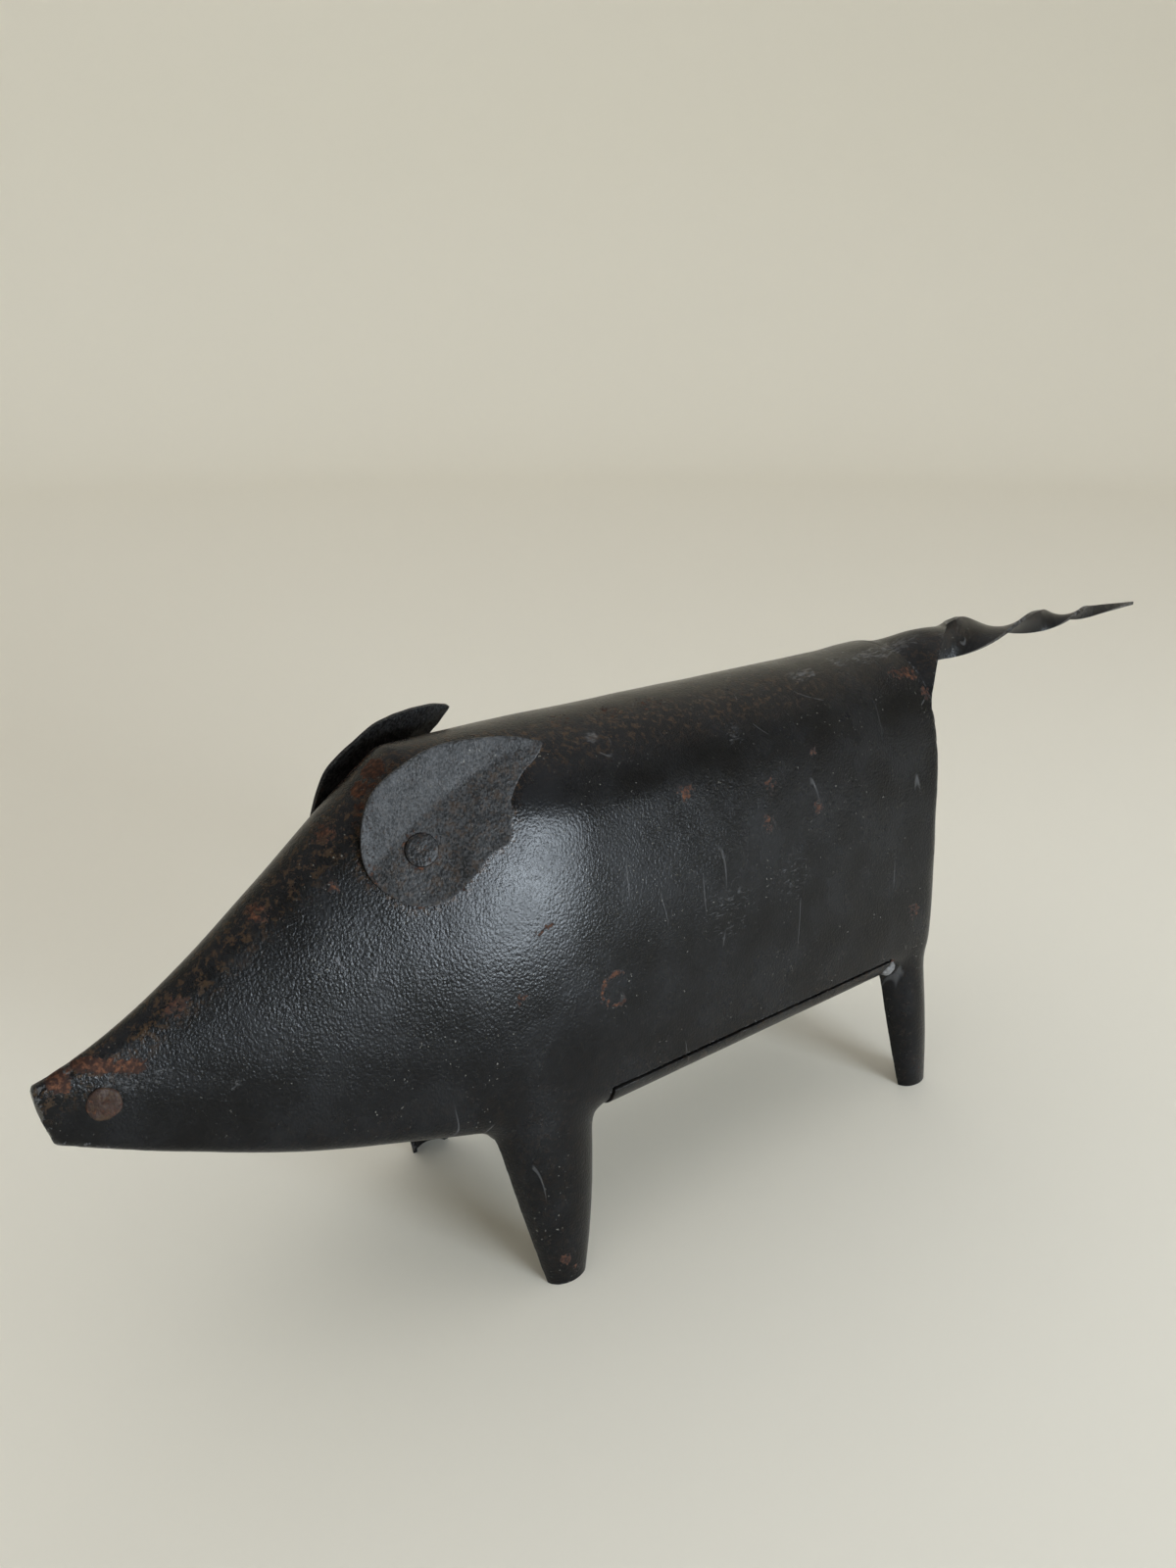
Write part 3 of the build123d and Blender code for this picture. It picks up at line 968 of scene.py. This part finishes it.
def steel(name, dark, light, gloss, grain=1300.0, speckle=0.2, rust=0.0, streak=0.35):
    """Blackened steel that reads its rust, scuffs, brown (patina, and in places painted reflection and
    shade) and bare edges from the piece.
    """
    material = bpy.data.materials.new(name)
    material.use_nodes = True
    tree = material.node_tree
    shader = tree.nodes["Principled BSDF"]
    place = wire(tree, "ShaderNodeTexCoord", {}).outputs["Object"]
    finish = wire(tree, "ShaderNodeAttribute", {}, attribute_name="finish").outputs
    amounts = wire(tree, "ShaderNodeSeparateColor", {"Color": finish["Color"]}).outputs
    skin = use_group(tree, "hammered_grain", {"Place": place, "Grain": grain})

    speckled = calc(tree, "MULTIPLY", calc(tree, "SUBTRACT", skin["Speckle"], 0.5), speckle)
    tone = between(tree, calc(tree, "ADD", skin["Mottle"], speckled), 0.3, 0.75)
    color = mixed(tree, tone, dark, light)
    # Brown from the finish: patina, and in places painted reflection and shade.
    brown_spread = between(tree, cloud(tree, place, freckle_scale, 6.0, 0.7), 0.5, 0.6)
    color = mixed(tree, calc(tree, "MULTIPLY", amounts["Blue"], brown_spread), color, brown_patina_and_painted_light)

    streaks = wire(tree, "ShaderNodeMapping", {"Vector": place, "Scale": (streak, 1.0, 1.0)}).outputs[0]
    scuffed = {"Place": streaks, "Amount": amounts["Green"], "Size": scuff_scale, "Softness": soft_border}
    scuffs = use_group(tree, "ragged_patches", scuffed)
    color = mixed(tree, calc(tree, "MULTIPLY", scuffs["Mask"], 0.6), color, bare_steel)
    upright = wire(tree, "ShaderNodeMapping", {"Vector": place, "Scale": (1.0, 1.0, 0.2)}).outputs[0]
    scratches = use_group(tree, "fine_scratches", {"Place": upright, "Scale": scratch_scale})
    color = mixed(tree, calc(tree, "MULTIPLY", scratches["Mask"], 0.3), color, bare_steel)
    chips = calc(tree, "MULTIPLY", finish["Alpha"], 0.55)
    chipped = {"Place": place, "Amount": chips, "Size": chip_scale, "Softness": hard_border}
    edges = use_group(tree, "ragged_patches", chipped)
    color = mixed(tree, calc(tree, "MULTIPLY", edges["Mask"], 0.5), color, bare_steel)

    rust_amount = calc(tree, "ADD", amounts["Red"], rust)
    rusted = {"Place": place, "Amount": rust_amount, "Size": rust_scale, "Softness": hard_border}
    rusty = use_group(tree, "ragged_patches", rusted)
    rust_tone = between(tree, cloud(tree, place, rust_tone_scale, 4.0, 0.6), 0.42, 0.72)
    color = mixed(tree, rusty["Mask"], color, mixed(tree, rust_tone, rust_dark, rust_light))
    specks = between(tree, cloud(tree, place, speck_scale, 1.0, 0.4), 0.73, 0.78)
    dusty = between(tree, cloud(tree, place, dust_scale, 2.0, 0.5), 0.45, 0.62)
    color = mixed(tree, calc(tree, "MULTIPLY", specks, dusty), color, dust)

    roughness = between(tree, skin["Mottle"], 0.3, 0.7, gloss - 0.04, gloss + 0.06)
    dull = {0: rusty["Mask"], 2: roughness, 3: 0.8}
    roughness = wire(tree, "ShaderNodeMix", dull, data_type="FLOAT").outputs[0]
    height = calc(tree, "ADD", skin["Height"], calc(tree, "MULTIPLY", rusty["Mask"], 0.6))
    bump = wire(tree, "ShaderNodeBump", {"Height": height, "Strength": 1.0, "Distance": grain_depth})
    tree.links.new(color, shader.inputs["Base Color"])
    tree.links.new(roughness, shader.inputs["Roughness"])
    tree.links.new(bump.outputs["Normal"], shader.inputs["Normal"])
    shader.inputs["Specular IOR Level"].default_value = 0.2
    return material


smooth_angle = radians(40)


def dress(piece, node, material, finish):
    """Weathers a piece, gives it its material and puts it in the place of its solid."""
    weather(piece, finish)
    pick(piece)
    bpy.ops.object.shade_smooth_by_angle(angle=smooth_angle)
    piece.data.materials.clear()
    piece.data.materials.append(material)
    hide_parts(node)
    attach(piece, "root")


blackened = steel("blackened_steel", (0.0018, 0.0019, 0.0023, 1), (0.006, 0.0064, 0.0075, 1), 0.24)
plate = steel("plate_steel", (0.003, 0.003, 0.0032, 1), (0.01, 0.01, 0.01, 1), 0.3)
ear_skin = steel(
    "ear_steel", (0.003, 0.003, 0.0033, 1), (0.024, 0.024, 0.025, 1), 0.46, speckle=0.8, streak=1.0
)
rivet_skin = steel("ear_rivet_steel", (0.003, 0.003, 0.0033, 1), (0.011, 0.011, 0.012, 1), 0.4, speckle=0.4)
rusty_rivet = steel("snout_rivet_steel", (0.016, 0.009, 0.007, 1), (0.04, 0.021, 0.015, 1), 0.5, rust=0.1)
weld_metal = steel("weld_steel", (0.05, 0.05, 0.05, 1), (0.2, 0.19, 0.18, 1), 0.5, grain=1400.0)

dress(body_sheet(), "body_sheet", blackened, body_finish)
dress(belly_pan(), "belly_plate", plate, even_finish(0.12, 0.1, 0.3))
left_ear = ear_leaf()
right_ear = mirrored(left_ear, "right_ear_leaf")
dress(left_ear, "left_ear", ear_skin, ear_finish)
dress(right_ear, "right_ear", ear_skin, ear_finish)
left_rivet = ear_rivet()
right_rivet = mirrored(left_rivet, "right_ear_rivet_head")
dress(left_rivet, "left_ear_rivet", rivet_skin, even_finish(0.3, 0.1, 0.3))
dress(right_rivet, "right_ear_rivet", rivet_skin, even_finish(0.3, 0.1, 0.3))
dress(snout_rivet(), "snout_rivet", rusty_rivet, even_finish(0.35, 0.05, 0.9))
dress(tack_welds(), "belly_tack_welds", weld_metal, weld_finish)


def backdrop():
    """Pale round floor that sweeps up into a wall all round."""
    floor_radius = 2.4
    sweep = 0.8
    wall_height = 2.2
    run = floor_radius + sweep * pi / 2 + wall_height

    def place(around, out):
        length = out * run
        radius = min(length, floor_radius)
        height = 0.0
        if length > floor_radius:
            angle = min((length - floor_radius) / sweep, pi / 2)
            radius = floor_radius + sweep * sin(angle)
            height = sweep * (1 - cos(angle)) + max(0.0, length - floor_radius - sweep * pi / 2)
        turn = 2 * pi * around
        return Vector((radius * cos(turn), radius * sin(turn), height)) / mm

    floor = bent_sheet("floor", 96, 60, place)
    face_towards(floor, Vector((0, 0, 1)))
    material = bpy.data.materials.new("pale_floor")
    material.use_nodes = True
    shader = material.node_tree.nodes["Principled BSDF"]
    shader.inputs["Base Color"].default_value = (0.9, 0.87, 0.78, 1)
    shader.inputs["Roughness"].default_value = 0.9
    floor.data.materials.append(material)
    pick(floor)
    bpy.ops.object.shade_smooth()


backdrop()

camera_place = Vector((-0.253665, -0.235125, 0.225))
camera_look = Vector((0.58591, 0.73994, -0.3304))
camera_facing = camera_look.to_track_quat("-Z", "Y").to_euler()
bpy.ops.object.camera_add(location=camera_place, rotation=camera_facing)
camera = bpy.context.object
camera.data.sensor_width = 36.0
camera.data.lens = 27.0
camera.data.clip_start = 0.01
bpy.context.scene.camera = camera


def lamp(kind, name, place, aim, power, color):
    """Lamp at a place, turned to face a point, that the camera doesn't see."""
    facing = (Vector(aim) - Vector(place)).to_track_quat("-Z", "Y").to_euler()
    bpy.ops.object.light_add(type=kind, location=place, rotation=facing)
    light = bpy.context.object
    light.name = name
    light.visible_camera = False
    light.data.energy = power
    light.data.color = color
    return light.data


window = lamp("AREA", "window", (0.11, -1.3, 0.18), (0.11, 0, 0.18), 25, (0.8, 0.9, 1.0))
window.shape = "RECTANGLE"
window.size = 0.62
window.size_y = 0.35
ceiling = lamp("SUN", "ceiling", (-0.1, -0.5, 2.0), (0, 0, 0), 1.6, (1.0, 0.98, 0.95))
ceiling.angle = radians(120)

world = bpy.data.worlds.new("studio")
bpy.context.scene.world = world
world.use_nodes = True
world.node_tree.nodes["Background"].inputs["Color"].default_value = (0.9, 0.95, 1.0, 1)
world.node_tree.nodes["Background"].inputs["Strength"].default_value = 0.06
bpy.context.scene.view_settings.view_transform = "Standard"
